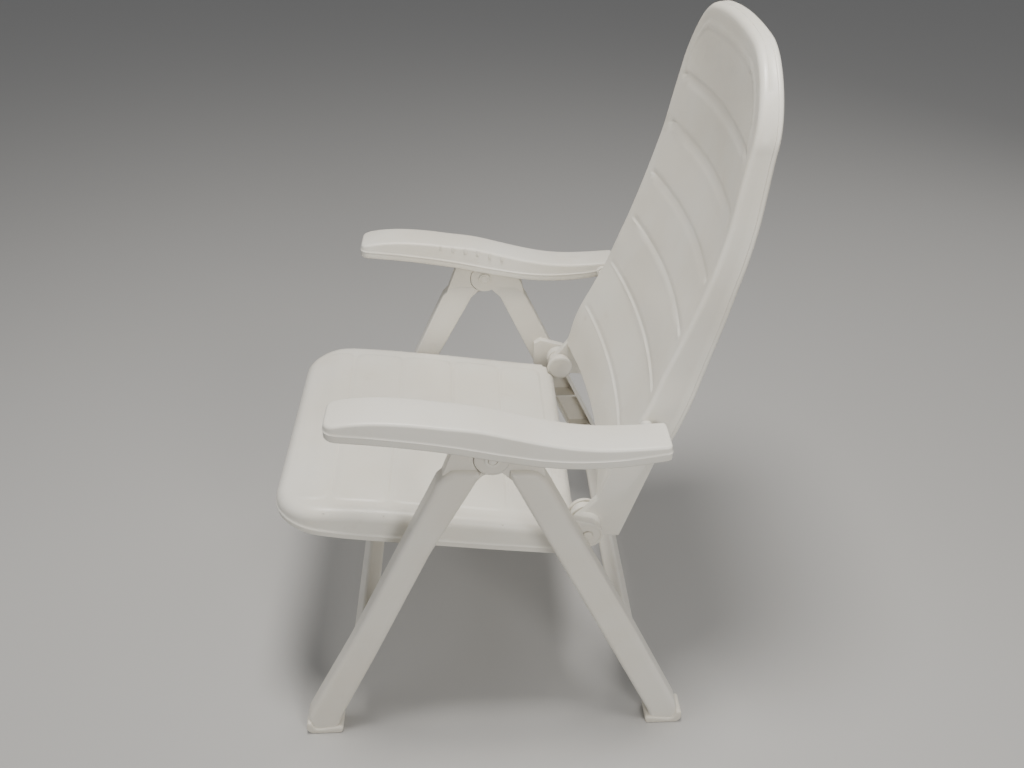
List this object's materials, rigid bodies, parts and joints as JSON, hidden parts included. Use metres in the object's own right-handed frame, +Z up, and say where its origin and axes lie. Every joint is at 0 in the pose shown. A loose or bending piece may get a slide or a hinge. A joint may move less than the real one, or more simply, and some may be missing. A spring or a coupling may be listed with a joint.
{
  "type": "folding multi-position garden armchair",
  "caption": "Folding high-back garden armchair of moulded plastic: crossing leg frames, dished seat, S-curved armrests and a back that reclines and folds flat.",
  "frame": {"origin": "on the floor at the centre of the open chair's bounding box", "axes": "+Z up, -Y the way the sitter faces, +X the sitter's left"},
  "size_m": [0.62, 0.6917, 1.078],
  "materials": {
    "chair_plastic": "satin",
    "foot_plastic": "satin",
    "pin_plastic": "satin",
    "pin_steel": "satin"
  },
  "bodies": {
    "rear_frame": {"rear_leg_left": "chair_plastic", "rear_leg_right": "chair_plastic", "rear_foot_left": "foot_plastic", "rear_foot_right": "foot_plastic", "leg_pivot_pin_left": "pin_plastic", "leg_pivot_pin_right": "pin_plastic", "leg_pivot_ring_left": "pin_plastic", "leg_pivot_ring_right": "pin_plastic", "latch_peg_left": "pin_plastic", "latch_peg_right": "pin_plastic", "rear_crossbar": "chair_plastic"},
    "front_frame": {"front_leg_left": "chair_plastic", "front_leg_right": "chair_plastic", "front_foot_left": "foot_plastic", "front_foot_right": "foot_plastic", "seat_stud_left": "pin_plastic", "seat_stud_right": "pin_plastic", "front_crossbar": "chair_plastic"},
    "seat": {"seat": "chair_plastic"},
    "hinge_pins": {"seat_hinge_pin_left": "pin_plastic", "seat_hinge_pin_right": "pin_plastic", "seat_hinge_cap_left": "pin_plastic", "seat_hinge_cap_right": "pin_plastic"},
    "back": {"backrest": "chair_plastic"},
    "arm_pins": {"armrest_pin_left": "pin_steel", "armrest_pin_right": "pin_steel"},
    "armrest_left": {"armrest_left": "chair_plastic"},
    "armrest_right": {"armrest_right": "chair_plastic"}
  },
  "joints": [
    {"name": "fold", "type": "hinge", "parent": "rear_frame", "child": "front_frame", "pos_m": [0, -0.01, 0.554], "axis": [1, 0, 0], "range_deg": [0, 48]},
    {"name": "seat_fold", "type": "hinge", "parent": "rear_frame", "child": "seat", "pos_m": [0, 0.131, 0.393], "axis": [1, 0, 0], "range_deg": [-57.5, 0.5]},
    {"name": "back_fold", "type": "hinge", "parent": "rear_frame", "child": "hinge_pins", "pos_m": [0, 0.131, 0.393], "axis": [1, 0, 0], "range_deg": [-0.5, 36.5]},
    {"name": "recline", "type": "hinge", "parent": "hinge_pins", "child": "back", "pos_m": [0, 0.131, 0.393], "axis": [1, 0, 0], "range_deg": [-30, 0]},
    {"name": "arm_fold", "type": "hinge", "parent": "back", "child": "arm_pins", "pos_m": [0, 0.207, 0.572], "axis": [1, 0, 0], "range_deg": [-100.29, 0.5]},
    {"name": "arm_left_level", "type": "hinge", "parent": "arm_pins", "child": "armrest_left", "pos_m": [0, 0.207, 0.572], "axis": [1, 0, 0], "range_deg": [-0.5, 21.5]},
    {"name": "arm_right_level", "type": "hinge", "parent": "arm_pins", "child": "armrest_right", "pos_m": [0, 0.207, 0.572], "axis": [1, 0, 0], "range_deg": [-0.5, 21.5]}
  ],
  "couplings": [
    {"joint": "seat_fold", "follows": "fold", "ratio": -1.1875},
    {"joint": "back_fold", "follows": "fold", "ratio": 0.75},
    {"joint": "arm_fold", "follows": "fold", "ratio": -2.079},
    {"joint": "arm_left_level", "follows": "recline", "ratio": -0.7},
    {"joint": "arm_right_level", "follows": "recline", "ratio": -0.7}
  ]
}
